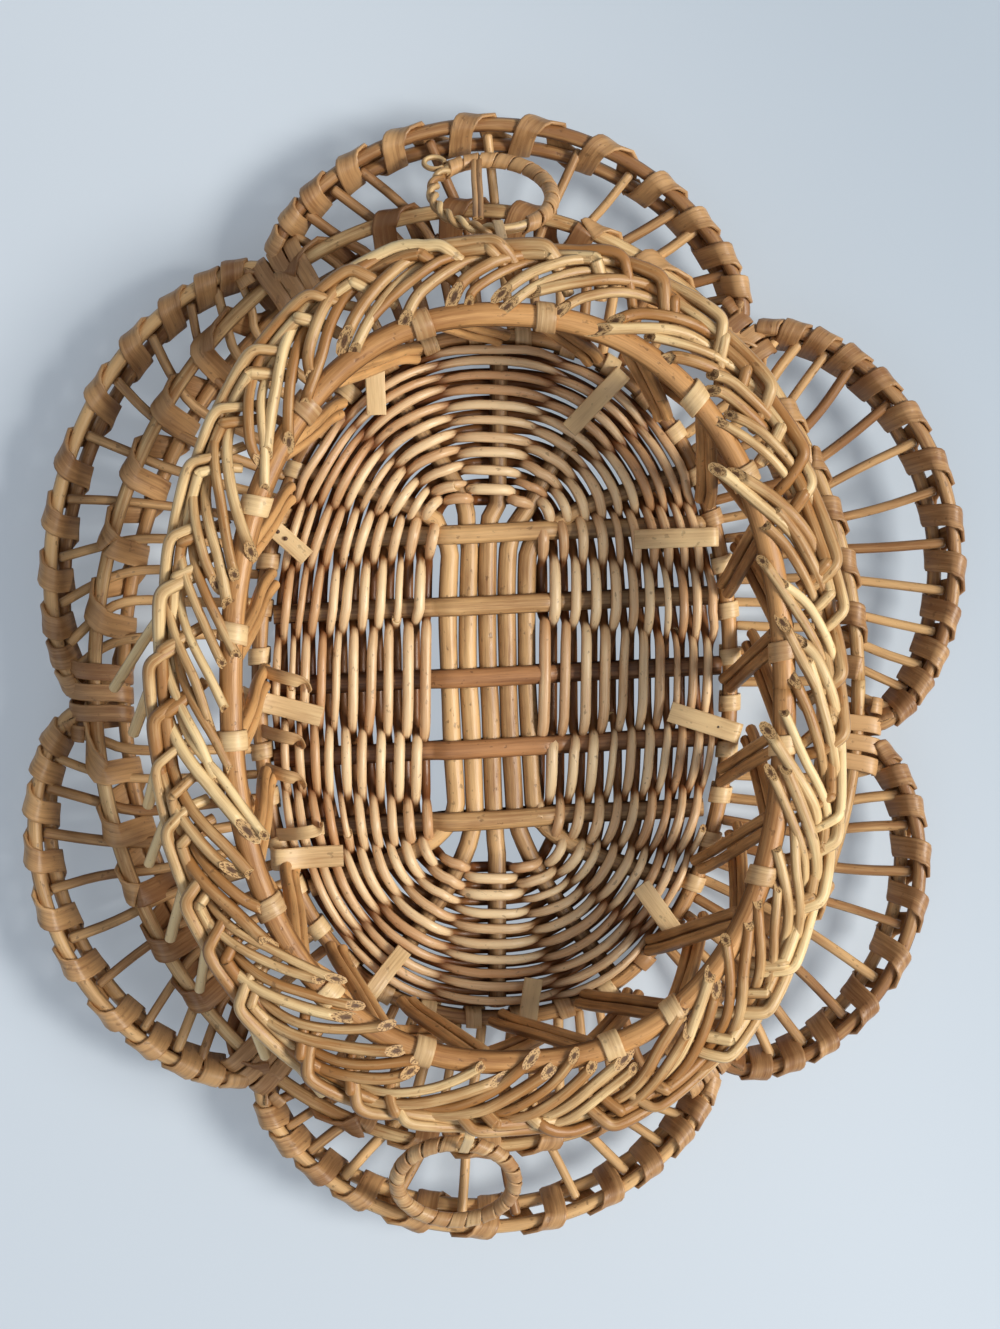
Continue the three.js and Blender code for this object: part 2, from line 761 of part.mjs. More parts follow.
for (const ring of rings) {
  const { point, outward, across: bandAcross } = borderFrame(loopEye(ring));
  const strand = point.addScaledVector(bandAcross, plaitReach);
  const hinge = strand.clone().addScaledVector(outward, ring.out).addScaledVector(up, -hingeDown);
  const along = outward.clone().cross(up);
  const droop = THREE.MathUtils.degToRad(ring.droop);
  const reach = outward.clone().multiplyScalar(Math.cos(droop)).addScaledVector(up, -Math.sin(droop));
  const hung = new THREE.Group();
  hung.position.copy(hinge);
  hung.quaternion.setFromRotationMatrix(
    new THREE.Matrix4().makeBasis(along, reach, along.clone().cross(reach)));
  basket.add(hung);
  add(`ring_${ring.name}`, ringRod(), paleWillow, hung);
  addWinding(`ring_${ring.name}_skein`, ringSkein(ring), ringSkeinWidth, 6, hung);
  add(`ring_${ring.name}_loop`, hangingLoop(strand, hinge, along), skeinCane);
}

export default basket;
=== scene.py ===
"""Looks of the hanging wicker basket: every rod, weaver and strip of split cane is its own form.

Metres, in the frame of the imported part: Z up from the base, X across and Y along the basket.
"""
import json
import math

import bpy
import numpy as np
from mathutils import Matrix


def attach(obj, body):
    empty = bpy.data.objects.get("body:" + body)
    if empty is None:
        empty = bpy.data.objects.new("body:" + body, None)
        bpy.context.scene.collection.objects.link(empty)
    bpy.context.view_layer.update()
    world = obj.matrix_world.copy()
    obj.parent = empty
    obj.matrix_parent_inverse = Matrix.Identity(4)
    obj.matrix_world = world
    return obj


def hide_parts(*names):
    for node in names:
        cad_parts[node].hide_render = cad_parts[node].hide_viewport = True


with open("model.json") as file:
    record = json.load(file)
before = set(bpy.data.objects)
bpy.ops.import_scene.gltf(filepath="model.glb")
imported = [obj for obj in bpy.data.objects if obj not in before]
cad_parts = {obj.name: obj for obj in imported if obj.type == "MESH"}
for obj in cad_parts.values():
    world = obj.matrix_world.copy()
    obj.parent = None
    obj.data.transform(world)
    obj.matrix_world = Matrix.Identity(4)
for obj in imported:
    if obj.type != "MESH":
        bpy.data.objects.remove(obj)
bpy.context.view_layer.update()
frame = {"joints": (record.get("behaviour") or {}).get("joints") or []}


# Stage: a plain pale floor, soft daylight from the right, and the camera above the basket,
# a little to the upper left of its middle. The floor is greyer to the upper right, a painted
# shade. Part of what the camera sees of it is a sheet of paper without shadow, and below the
# mat that share is larger: painted light that lifts the shade under the mat.

def paint(red, green, blue):
    """A screen colour, 0 to 255 a channel, as the linear colour that a shader takes."""
    screen = np.array([red, green, blue]) / 255
    linear = np.where(screen > 0.04045, ((screen + 0.055) / 1.055) ** 2.4, screen / 12.92)
    return (*linear.tolist(), 1.0)


class Number:
    """A number out of a shader node. Arithmetic on it adds Math nodes."""

    def __init__(self, look, output):
        self.look = look
        self.output = output

    def math(self, operation, first, second):
        values = {0: first, 1: second}
        return Number(self.look, self.look.node("ShaderNodeMath", {"operation": operation}, values))

    def __add__(self, other):
        return self.math("ADD", self, other)

    def __radd__(self, other):
        return self.math("ADD", other, self)

    def __sub__(self, other):
        return self.math("SUBTRACT", self, other)

    def __rsub__(self, other):
        return self.math("SUBTRACT", other, self)

    def __mul__(self, other):
        return self.math("MULTIPLY", self, other)

    def __rmul__(self, other):
        return self.math("MULTIPLY", other, self)

    def above(self, low, high):
        """0 below low, 1 above high and a smooth climb between them."""
        settings = {"interpolation_type": "SMOOTHSTEP"}
        values = {"Value": self, "From Min": low, "From Max": high}
        return Number(self.look, self.look.node("ShaderNodeMapRange", settings, values))


class Look:
    """A procedural material whose nodes are added by kind, settings and values."""

    def __init__(self, name):
        self.material = bpy.data.materials.new(name)
        self.material.use_nodes = True
        self.tree = self.material.node_tree
        self.shader = self.tree.nodes["Principled BSDF"]

    def node(self, kind, settings, values, output=0):
        made = self.tree.nodes.new(kind)
        for key, value in settings.items():
            setattr(made, key, value)
        for key, value in values.items():
            self.feed(made.inputs[key], value)
        return made.outputs[output]

    def feed(self, target, value):
        source = value.output if isinstance(value, Number) else value
        if isinstance(source, bpy.types.NodeSocket):
            self.tree.links.new(source, target)
        else:
            target.default_value = source

    def mix(self, factor, first, second, blend="MIX"):
        settings = {"data_type": "RGBA", "blend_type": blend}
        return self.node("ShaderNodeMix", settings, {0: factor, 6: first, 7: second}, 2)

    def vector(self, operation, values, output=0):
        """Vector Math, whose output 0 is a vector and output 1 a number."""
        settings = {"operation": operation}
        return self.node("ShaderNodeVectorMath", settings, dict(enumerate(values)), output)

    def noise(self, place, stretch, detail=2.0):
        """Noise over a place whose three coordinates are stretched first."""
        scaled = self.vector("MULTIPLY", (place, stretch))
        values = {"Vector": scaled, "Scale": 1.0, "Detail": detail}
        return Number(self, self.node("ShaderNodeTexNoise", {}, values))


floor_size = 8
mat_half = (0.086, 0.125)
corner_way = (0.9, 0.5, 0)
corner_distance = 0.32
floor_look = Look("floor")
floor_look.feed(floor_look.shader.inputs["Roughness"], 0.8)
by_camera = Number(floor_look, floor_look.node("ShaderNodeLightPath", {}, {}))
floor_place = floor_look.node("ShaderNodeTexCoord", {}, {}, 3)
in_ovals = floor_look.vector("MULTIPLY", (floor_place, (1 / mat_half[0], 1 / mat_half[1], 0)))
beyond = Number(floor_look, floor_look.vector("LENGTH", (in_ovals,), 1)).above(0.7, 1.1)
to_corner = floor_look.vector("DOT_PRODUCT", (floor_place, corner_way), 1)
# painted shade: the floor's colour turns greyer towards the upper right
corner = Number(floor_look, to_corner).above(0.0, corner_distance)
white = floor_look.mix(corner, paint(210, 220, 230), paint(184, 196, 208))
floor_look.feed(floor_look.shader.inputs["Base Color"], white)
paper = floor_look.node("ShaderNodeEmission", {}, {"Color": white, "Strength": 1.0})
# painted light: below the mat the camera sees more of the shadowless sheet, which lifts the mat's shadow
paper_and_painted_light = by_camera * (0.66 - 0.34 * beyond)
sheet = floor_look.node("ShaderNodeMixShader", {},
                        {0: paper_and_painted_light, 1: floor_look.shader.outputs[0], 2: paper})
floor_look.feed(floor_look.tree.nodes["Material Output"].inputs["Surface"], sheet)
bpy.ops.mesh.primitive_plane_add(size=floor_size, location=(0, 0, 0))
floor = bpy.context.object
floor.name = "floor"
floor.data.materials.append(floor_look.material)

sky = bpy.data.worlds.new("sky")
sky.use_nodes = True
daylight = sky.node_tree.nodes["Background"]
daylight.inputs["Color"].default_value = (0.8, 0.88, 1.0, 1.0)
daylight.inputs["Strength"].default_value = 0.30
backdrop = sky.node_tree.nodes.new("ShaderNodeBackground")
backdrop.inputs["Color"].default_value = paint(208, 217, 226)
seen_sky = sky.node_tree.nodes.new("ShaderNodeMixShader")
sight = sky.node_tree.nodes.new("ShaderNodeLightPath")
for source, target in ((sight.outputs["Is Camera Ray"], seen_sky.inputs[0]),
                       (daylight.outputs[0], seen_sky.inputs[1]),
                       (backdrop.outputs[0], seen_sky.inputs[2]),
                       (seen_sky.outputs[0], sky.node_tree.nodes["World Output"].inputs["Surface"])):
    sky.node_tree.links.new(source, target)
bpy.context.scene.world = sky
bpy.context.scene.view_settings.view_transform = "Standard"


def window(name, place, size, power, colour):
    """A square soft light at a place, turned to the basket."""
    light = bpy.data.lights.new(name, "AREA")
    light.size = size
    light.energy = power
    light.color = colour
    holder = bpy.data.objects.new(name, light)
    holder.location = place
    away = np.array(place) / np.linalg.norm(place)
    holder.rotation_euler = (math.acos(away[2]), 0, math.atan2(away[1], away[0]) + math.pi / 2)
    bpy.context.scene.collection.objects.link(holder)


window("window", (1.78, -0.16, 1.90), size=0.85, power=66, colour=(1.0, 0.965, 0.90))
window("ceiling", (-0.7, -1.1, 1.8), size=1.2, power=5, colour=(0.9, 0.95, 1.0))

lens = bpy.data.cameras.new("camera")
lens.lens = 54.19
lens.sensor_width = 36
lens.clip_start = 0.01
camera = bpy.data.objects.new("camera", lens)
camera.location = (-0.0766, 0.0392, 0.7586)
camera.rotation_euler = (math.radians(-2.55), math.radians(-5.88), math.radians(0.12))
bpy.context.scene.collection.objects.link(camera)
bpy.context.scene.camera = camera


# Base sticks: five round sticks lie side by side along the middle, and fan out at the ends.
# They pass through five cross sticks, each split into an arm above and an arm below them.

class Oval:
    """A closed level line through (w sign(c) |c|^p, l sign(s) |s|^p), where c and s are the cosine
    and sine of a turn and p = 2 / fullness. A dent draws it in by that share of its size at the
    upper right. A share is a part of its whole length."""

    def __init__(self, half_width, half_length, fullness=2.3, centre=0.0, dent=0.0):
        self.half = (half_width, half_length)
        self.power = 2 / fullness
        self.centre = centre
        self.dent = dent
        self.turns = np.linspace(0, 1, 7201)
        self.reached = run_along(self.at_turn(self.turns))
        self.length = self.reached[-1]

    def at_turn(self, turn):
        cosine = np.cos(2 * np.pi * np.asarray(turn))
        sine = np.sin(2 * np.pi * np.asarray(turn))
        kept = 1 - self.dent * dented(turn)
        x = self.half[0] * np.sign(cosine) * np.abs(cosine) ** self.power * kept
        y = self.half[1] * np.sign(sine) * np.abs(sine) ** self.power * kept
        return np.stack([self.centre + x, y, 0 * x], -1)

    def at(self, share):
        turn = np.interp(np.mod(share, 1) * self.length, self.reached, self.turns)
        return self.at_turn(turn)

    def outward_turn(self, turn):
        turn = np.asarray(turn)
        return right_of(self.at_turn(turn + 0.001) - self.at_turn(turn - 0.001))

    def outward(self, share):
        share = np.asarray(share)
        return right_of(self.at(share + 0.001) - self.at(share - 0.001))

    def turn_through(self, x, y):
        """The turn of its point in line with (x, y), which are measured from its middle."""
        cosine = math.copysign(abs(x / self.half[0]) ** (1 / self.power), x)
        sine = math.copysign(abs(y / self.half[1]) ** (1 / self.power), y)
        return math.atan2(sine, cosine) / (2 * math.pi) % 1

    def reach(self, across, axis):
        """Half its extent along one axis at a distance across from that axis, without a dent."""
        other = self.half[1 - axis]
        return self.half[axis] * (1 - abs(across / other) ** (2 / self.power)) ** (self.power / 2)


def dented(turn):
    """How far a place round the basket belongs to its flattened upper right: cos^2, never below 0."""
    return np.maximum(np.cos(2 * np.pi * (np.asarray(turn) - 0.08)), 0) ** 2


def unit(vectors):
    return vectors / np.linalg.norm(vectors, axis=-1, keepdims=True)


def right_of(along):
    """The level direction to the right of a heading."""
    return unit(np.stack([along[..., 1], -along[..., 0], 0 * along[..., 0]], -1))


def run_along(points):
    """How far along a line each of its points is."""
    steps = np.linalg.norm(np.diff(points, axis=0), axis=1)
    return np.concatenate([[0], np.cumsum(steps)])


def raised(points, height):
    """The same points at another height."""
    level = points * (1, 1, 0)
    zero = 0 * points[..., 0]
    return level + np.stack([zero, zero, height + zero], -1)


def soften(points, passes=2):
    """Cuts a line's corners: each pass puts points at a quarter and three quarters of a stretch."""
    line = np.asarray(points, float)
    for _ in range(passes):
        early = line[:-1] * 0.75 + line[1:] * 0.25
        late = line[:-1] * 0.25 + line[1:] * 0.75
        middle = np.stack([early, late], 1).reshape(-1, line.shape[1])
        line = np.concatenate([line[:1], middle, line[-1:]])
    return line


def ring_outline(sides, width=1.0, thickness=1.0, power=1.0):
    """Corners (w sign(c) |c|^power, t sign(s) |s|^power) round a section, for even angles."""
    angle = (np.arange(sides) + 0.5) * 2 * np.pi / sides
    cosine = np.cos(angle)
    sine = np.sin(angle)
    return np.stack([width * np.sign(cosine) * np.abs(cosine) ** power,
                     thickness * np.sign(sine) * np.abs(sine) ** power], -1)


round_rod = ring_outline(10)


class Rods:
    """Rods and strips gathered into one mesh. Each is a closed grid of rings along a line. The
    mesh carries four fields: the grain is a place in the wood, with its third part along it, the
    tone is a shade for each rod, the painted light is high on the top and lit side of a rod and
    low on its flanks and shaded parts, which sets painted shade in the material, and the cut is 1
    in the middle of an end."""

    def __init__(self, seed):
        self.chance = np.random.default_rng(seed)
        self.points = []
        self.grain = []
        self.tone = []
        self.painted_light = []
        self.cut = []
        self.quads = []
        self.fans = []
        self.count = 0

    def wobble(self, count, size, waves=3.0):
        """A smooth random wander along a rod: three sine waves with random lengths and starts."""
        place = np.linspace(0, 1, count)[:, None]
        rate = self.chance.uniform(0.5, 1.5, 3) * waves
        start = self.chance.uniform(0, 1, 3)
        return size * np.sin(2 * np.pi * (place * rate + start)).mean(1)

    def add(self, path, radius, facing=(0, 0, 1), outline=round_rod, slant=(0, 0), tone=None,
            painted_lit=None):
        """Ring i, corner j is path_i + radius_i (s_j across_i + t_j out_i), where across is
        facing x along and out is along x across. A skew cut moves each corner of an end to the
        plane that leans by its slant: what lies short of slant t_j radius along goes there.
        The painted light of a corner is |t_j| over the largest |t|, so that the material paints shade
        on the rod's flanks, or t_j over it times painted_lit_i, which is low or below 0 where the
        rod is painted in shade underneath or under other parts."""
        path = np.asarray(path, float)
        along = unit(np.gradient(path, axis=0))
        across = unit(np.cross(np.broadcast_to(facing, path.shape), along))
        out = np.cross(along, across)
        size = np.broadcast_to(radius, len(path))[:, None, None]
        s = outline[:, 0][:, None]
        t = outline[:, 1][:, None]
        grid = path[:, None] + size * (across[:, None] * s + out[:, None] * t)
        rings, sides = grid.shape[:2]
        length = run_along(path)
        for end, way, lean in ((0, 1, slant[0]), (-1, -1, slant[1])):
            cut = t[:, 0] * size[end, 0] * lean
            kept = np.maximum(cut - np.abs(length - length[end])[:, None], 0)
            kept[end] = cut
            grid += way * along[:, None] * kept[..., None]
        start = self.chance.uniform(0, 3, 3)
        grain = np.stack([size[..., 0] * outline[:, 0], size[..., 0] * outline[:, 1],
                          np.broadcast_to(length[:, None], (rings, sides))], -1) + start
        middles = np.stack([start, start + (0, 0, length[-1])])
        index = self.count + np.arange(rings * sides).reshape(rings, sides)
        after = np.roll(index, -1, 1)
        first = self.count + rings * sides
        self.quads.append(np.stack([index[:-1], after[:-1], after[1:], index[1:]], -1).reshape(-1, 4))
        self.fans.append(np.stack([np.full(sides, first), after[0], index[0]], -1))
        self.fans.append(np.stack([np.full(sides, first + 1), index[-1], after[-1]], -1))
        self.points += [grid.reshape(-1, 3), path[[0, -1]]]
        self.grain += [grain.reshape(-1, 3), middles]
        self.cut.append(np.concatenate([np.zeros(rings * sides), np.ones(2)]))
        height = np.broadcast_to((t / np.abs(t).max())[:, 0], (rings, sides))
        painted_light = np.abs(height) if painted_lit is None else height * np.broadcast_to(painted_lit, rings)[:, None]
        self.painted_light.append(np.append(painted_light.ravel(), (1, 1)))
        shade = self.chance.uniform(0, 1) if tone is None else tone
        self.tone.append(np.full(rings * sides + 2, shade))
        self.count += rings * sides + 2

    def add_round(self, path, radius, **options):
        """A rod with rounded ends: three smaller rings at each end, as on a flattened quarter
        circle."""
        flatness = 0.6
        path = np.asarray(path, float)
        angle = np.radians([20, 45, 70])[:, None]
        radii = np.broadcast_to(radius, len(path))
        front = path[0] + unit(path[0] - path[1]) * radii[0] * np.cos(angle) * flatness
        back = path[-1] + unit(path[-1] - path[-2]) * radii[-1] * np.cos(angle[::-1]) * flatness
        ring = np.concatenate([radii[0] * np.sin(angle[:, 0]), radii,
                               radii[-1] * np.sin(angle[::-1, 0])])
        self.add(np.concatenate([front, path, back]), ring, **options)

    def build(self, name, look, body, nodes):
        """Makes the object, which rides on a body and stands for the CAD nodes."""
        quads = np.concatenate(self.quads)
        fans = np.concatenate(self.fans)
        points = np.concatenate(self.points)
        corners = np.concatenate([quads.ravel(), fans.ravel()])
        starts = np.concatenate([np.arange(len(quads)) * 4, quads.size + np.arange(len(fans)) * 3])
        mesh = bpy.data.meshes.new(name)
        mesh.vertices.add(len(points))
        mesh.vertices.foreach_set("co", points.astype(np.float32).ravel())
        mesh.loops.add(len(corners))
        mesh.loops.foreach_set("vertex_index", corners.astype(np.int32))
        mesh.polygons.add(len(starts))
        mesh.polygons.foreach_set("loop_start", starts.astype(np.int32))
        mesh.update(calc_edges=True)
        smooth = np.arange(len(starts)) < len(quads)
        mesh.polygons.foreach_set("use_smooth", smooth)
        fields = {"grain": ("FLOAT_VECTOR", "vector"), "tone": ("FLOAT", "value"),
                  "painted_light": ("FLOAT", "value"), "cut": ("FLOAT", "value")}
        for field, (kind, key) in fields.items():
            values = np.concatenate(getattr(self, field)).astype(np.float32)
            mesh.attributes.new(field, kind, "POINT").data.foreach_set(key, values.ravel())
        mesh.validate()
        mesh.materials.append(look.material)
        piece = bpy.data.objects.new(name, mesh)
        bpy.context.scene.collection.objects.link(piece)
        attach(piece, body)
        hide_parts(*nodes)


def willow(name, light, dark, gloss, speck=0.5, shade=(92, 64, 44)):
    """Willow or cane: two colours in streaks along the grain, a tone of its own for each rod,
    painted shade that multiplies a rod's flanks and shaded parts by the brown shade tint, dark
    flecks, and cut ends with a brown pith."""
    look = Look(name)
    grain = look.node("ShaderNodeAttribute", {"attribute_name": "grain"}, {}, 1)
    tone, painted_light, cut = (Number(look, look.node("ShaderNodeAttribute", {"attribute_name": field}, {}, 2))
                        for field in ("tone", "painted_light", "cut"))
    streak = look.noise(grain, (900, 900, 26))
    fibre = look.noise(grain, (2600, 2600, 160), 3)
    patch = look.noise(grain, (90, 90, 38))
    fleck = look.noise(grain, (500, 500, 330), 3).above(0.63, 0.72)
    blend = (streak * 0.9 + fibre * 0.5 + patch * 1.1 + tone * 0.75 - 1.17).above(-0.1, 1.0)
    colour = look.mix(blend, dark, light)
    # painted shade: flanks, undersides and covered parts take the brown shade tint
    painted_shade = look.mix(1.0, colour, paint(*shade), "MULTIPLY")
    colour = look.mix((painted_light + (streak - 0.5) * 0.5).above(-0.15, 0.78), painted_shade, colour)
    colour = look.mix(fleck * speck, colour, [part * 0.3 for part in dark[:3]] + [1.0])
    pith = look.mix(cut.above(0.45, 0.75), paint(206, 166, 112), paint(88, 58, 34))
    face = look.mix(fibre.above(0.5, 0.6), pith, paint(112, 78, 46))
    colour = look.mix(cut.above(0.02, 0.1), colour, face)
    look.feed(look.shader.inputs["Base Color"], colour)
    look.feed(look.shader.inputs["Roughness"], gloss + 0.22 * fibre + 0.2 * cut.above(0.0, 0.1))
    bump = look.node("ShaderNodeBump", {}, {"Strength": 0.5, "Distance": 0.0004,
                                            "Height": fibre * 0.5 + streak * 0.5 - fleck * 0.4})
    look.feed(look.shader.inputs["Normal"], bump)
    return look


pale = willow("pale_willow", paint(255, 224, 166), paint(170, 118, 64), 0.32)
golden = willow("golden_willow", paint(232, 188, 130), paint(150, 104, 62), 0.3)
brown = willow("brown_willow", paint(232, 180, 118), paint(132, 88, 52), 0.3)
red = willow("red_willow", paint(198, 142, 92), paint(128, 84, 52), 0.3)
cane = willow("skein_cane", paint(242, 208, 154), paint(176, 130, 84), 0.3, speck=0.35)
bark = willow("bark_skein", paint(218, 172, 118), paint(142, 98, 60), 0.3, speck=0.35)

rib_height = 0.0065
stick_radius = 0.0035
stick_pitch = 0.0074
stick_shift = 0.0036
stick_lean = 0.04
stick_fan = 27 / 360
first_bend = 0.0058
bend_step = 0.003
cross_pitch = 0.02703
cross_radius = 0.0037
cross_shift = 0.0014
cross_lean = 0.045
split_half = 0.0245
split_taper = 0.006
split_lift = 0.0037
painted_lit_half = 0.0235
opening_middle = -0.0034
rod_sway = 0.0003
mat_edge = Oval(0.0862, 0.1257)
mat_opening = Oval(0.0174, 0.0640, fullness=8, centre=opening_middle)
long_x = (np.arange(5) - 2) * stick_pitch
cross_y = (np.arange(5) - 2) * cross_pitch

for i, x in enumerate(long_x):
    sticks = Rods(10 + i)
    fan = (i - 2) * stick_fan
    bend = cross_y[-1] + first_bend + bend_step * (2 - abs(i - 2))
    top = mat_edge.at_turn(0.25 - fan) * 0.99
    bottom = mat_edge.at_turn(0.75 + fan) * 0.99
    line = [bottom, (x, -bend, 0), (x, -bend / 2, 0), (x, 0, 0), (x, bend / 2, 0), (x, bend, 0), top]
    line = raised(soften(line, 3), rib_height)
    straight = np.clip(1 - np.abs(line[:, 1]) / bend, 0, 1) ** 0.3
    aside = (stick_shift + stick_lean * line[:, 1]) * straight
    line[:, 0] += sticks.wobble(len(line), rod_sway) - aside
    # painted shade: the sticks are darker underneath and where the weave lies over them
    painted_lit = 0.4 + 0.6 * np.clip((mat_opening.half[1] - np.abs(line[:, 1])) / 0.006 + 0.5, 0, 1)
    sticks.add(line, stick_radius * (1 + sticks.wobble(len(line), 0.03)), outline=ring_outline(14),
               painted_lit=painted_lit)
    sticks.build(f"base_stick_{i + 1}", golden, "basket", [f"base_long_stick_{i + 1}"])

section = ring_outline(16)
upper_half = np.stack([section[:, 0], np.maximum(section[:, 1], 0)], -1)
lower_half = np.stack([section[:, 0], np.minimum(section[:, 1], 0)], -1)
for i, y in enumerate(cross_y):
    arms = Rods(20 + i)
    end = mat_edge.reach(abs(y) + cross_radius, 0) - 0.0005
    x = np.linspace(-end, end, 61)
    parted = np.clip((split_half - np.abs(x)) / split_taper, 0, 1)
    lift = split_lift * parted * parted * (3 - 2 * parted)
    sway = arms.wobble(len(x), rod_sway) + cross_lean * x + cross_shift
    # painted shade: the arms are darker where the weave lies over them
    painted_lit = 0.45 + 0.55 * np.clip((painted_lit_half - np.abs(x - opening_middle)) / 0.003, 0, 1)
    for half, sign in ((upper_half, 1), (lower_half, -1)):
        line = np.stack([x, y + sway, rib_height + sign * lift], -1)
        arms.add(line, cross_radius, outline=half * (1, 0.72), painted_lit=painted_lit * sign)
    arms.build(f"cross_stick_{i + 1}", red if i in (1, 2) else golden, "basket",
               [f"base_cross_stick_{i + 1}"])


# Base mat: two willow weavers chase each other in a spiral over and under the twenty ribs that
# the sticks make, thinner towards the mat's edge. Each weaver is pieced together from rods that
# thin towards their tips.

def rib_turns():
    """Each rib's turn on the opening and on the mat's edge, in order round the mat."""
    cross = [(mat_opening.turn_through(side * mat_opening.reach(y, 0), y),
              mat_edge.turn_through(side * mat_edge.reach(y, 0), y))
             for side, row in ((1, cross_y), (-1, cross_y[::-1])) for y in row]
    fans = []
    for end, order in ((1, range(4, -1, -1)), (-1, range(5))):
        for i in order:
            x = long_x[i]
            edge = 0.25 - (i - 2) * stick_fan
            fans.append((mat_opening.turn_through(x, end * mat_opening.reach(x, 1)),
                         edge if end > 0 else 1 - edge))
    return np.array(cross[:5] + fans[:5] + cross[5:] + fans[5:])


# painted shade: the weave's flanks and under strokes take this lighter brown shade tint
weave = willow("woven_willow", paint(255, 224, 176), paint(210, 160, 112), 0.26,
               shade=(146, 112, 84))
rib_count = 20
half_round = rib_count // 2
weave_rounds = 21
weave_lift = (0.0050, 0.0042)
weaver_radius = (0.0022, 0.0017)
weaver_span = (26, 34)
joint_overlap = 0.8
mesh_sway = 0.0004
loose_sway = 0.0008
ribs = np.unwrap(rib_turns() * 2 * np.pi, axis=0) / (2 * np.pi)
ribs = np.concatenate([ribs, ribs[:1] + 1])
mat = Rods(30)
for chaser in range(2):
    total = half_round * (weave_rounds - 1 - chaser)
    joint = 0.0
    while joint < total:
        span = mat.chance.uniform(*weaver_span)
        rib = np.arange(joint, min(joint + span + joint_overlap, total), 1 / 8)
        turn = np.mod(rib, rib_count)
        opening = np.interp(turn, np.arange(rib_count + 1), ribs[:, 0])
        edge = np.interp(turn, np.arange(rib_count + 1), ribs[:, 1])
        laid = (chaser + rib / half_round + 0.5) / weave_rounds
        share = (laid * (1.22 - 0.22 * laid))[:, None]
        line = mat_opening.at_turn(opening) * (1 - share) + mat_edge.at_turn(edge) * share
        wave = np.cos(np.pi * (rib + chaser))
        swing = np.sign(wave) * np.abs(wave) ** 0.75
        line = raised(line, rib_height + np.where(swing > 0, *weave_lift) * swing)
        sway = mesh_sway * np.sin(np.pi * (rib + chaser)) + mat.wobble(len(line), loose_sway, 9)
        line += unit(line * (1, 1, 0)) * sway[:, None]
        thick = np.interp(laid, [0, 1], weaver_radius)
        thick = thick * (0.76 + 0.24 * np.sqrt(np.abs(wave)))
        taper = np.interp(rib, [joint, joint + 1, joint + span - 4, joint + span], [1, 1.08, 0.95, 0.7])
        # painted shade: the under strokes, where swing is below 0, are darker
        mat.add(line, thick * taper, outline=ring_outline(8), slant=(1, 1),
                painted_lit=np.clip(swing * 1.4, -1, 1))
        joint += span
mat.build("base_mat", weave, "basket", ["mat_upper_weave", "mat_lower_weave"])


# Wall: pairs of stakes stand on the foot ring and lean one way inside, the other way outside.
# Skein binds the foot ring between them, and the rim hoop is a thick rod bound here and there.
# Four loose ends of skein curl up from the foot ring on the left.

foot = Oval(0.0895, 0.129)
foot_radius = 0.003
rim = Oval(0.098, 0.130, dent=0.05)
rim_height = 0.0728
rim_radius = 0.0041
rim_bindings = 16
binding_width = 0.0062
rim_binding_width = 0.0070
foot_binding_gap = 0.0007
rim_binding_gap = 0.0006
stake_count = 20
stake_radius = 0.0022
flat_strip = ring_outline(10, 1.0, 0.18, 0.35)


def wall_line(share, lean, climb, out, height):
    """Points up the wall from foot to rim that lean round it, at distances outward."""
    climb = np.asarray(climb, float)
    place = share + lean * climb / stake_count
    across = climb[:, None]
    line = foot.at(place) * (1 - across) + rim.at(place) * across
    line = line + foot.outward(place) * np.asarray(out)[:, None]
    return raised(line, np.asarray(height))


def add_pair(rods, line, facing, radius, reach):
    """Two rods side by side along a line, each longer or shorter at its start by up to a reach.
    Those on the window's side of the basket are darker: painted shade for the wall's shadow there,
    and partly a darker willow."""
    # painted shade: darker towards +X, the window's side
    shade = 0.6 - 3.5 * line[:, 0].mean() + rods.chance.uniform(-0.2, 0.2)
    along = unit(np.gradient(line, axis=0))
    aside = unit(np.cross(facing, along))
    for side in (-1, 1):
        size = radius * rods.chance.uniform(0.92, 1.05)
        own = line + aside * side * radius * 1.02
        own[0] -= along[0] * rods.chance.uniform(-1, 1) * reach
        own = soften(own)
        own = own + aside.mean(0) * rods.wobble(len(own), 0.0004, 0.7)[:, None]
        rods.add_round(own, size, facing=facing, tone=shade + rods.chance.uniform(-0.1, 0.1))


def add_wrap(rods, point_at, reach, start, end, turns, width, sides=12):
    """A strip wound round a rod: point_at(share) gives places on the rod and two directions
    square to it."""
    steps = max(int(turns * sides), 4)
    share = np.linspace(start, end, steps + 1)
    centre, out, up = point_at(share)
    angle = np.linspace(0, turns * 2 * np.pi, steps + 1)[:, None]
    face = -out * np.sin(angle) - up * np.cos(angle)
    rods.add(centre + face * reach, width / 2, facing=face, outline=flat_strip)


def oval_places(oval, height):
    """What add_wrap needs to know of a rod that follows an oval at a height."""

    def point_at(share):
        up = np.broadcast_to((0.0, 0.0, 1.0), (len(share), 3))
        return raised(oval.at(share), height), oval.outward(share), up

    return point_at


inner = Rods(40)
share = np.linspace(0, 1, 241)
inner.add(raised(foot.at(share), rib_height), foot_radius, outline=ring_outline(12), tone=0.4)
for i in range(stake_count):
    place = i / stake_count
    facing = unit((0, 0, 0.75) - foot.outward(place + 0.5 / stake_count))
    line = wall_line(place, inner.chance.uniform(0.45, 0.7), climb=[-0.07, 0.12, 0.5, 1.0],
                     out=[-0.0018, -0.0008, -0.0025, -0.0012],
                     height=[0.0122, 0.0190, 0.0425, 0.0668])
    add_pair(inner, line, facing, stake_radius, 0.003)
inner.build("inner_stakes", brown, "basket", ["foot_ring_inner_stakes"])

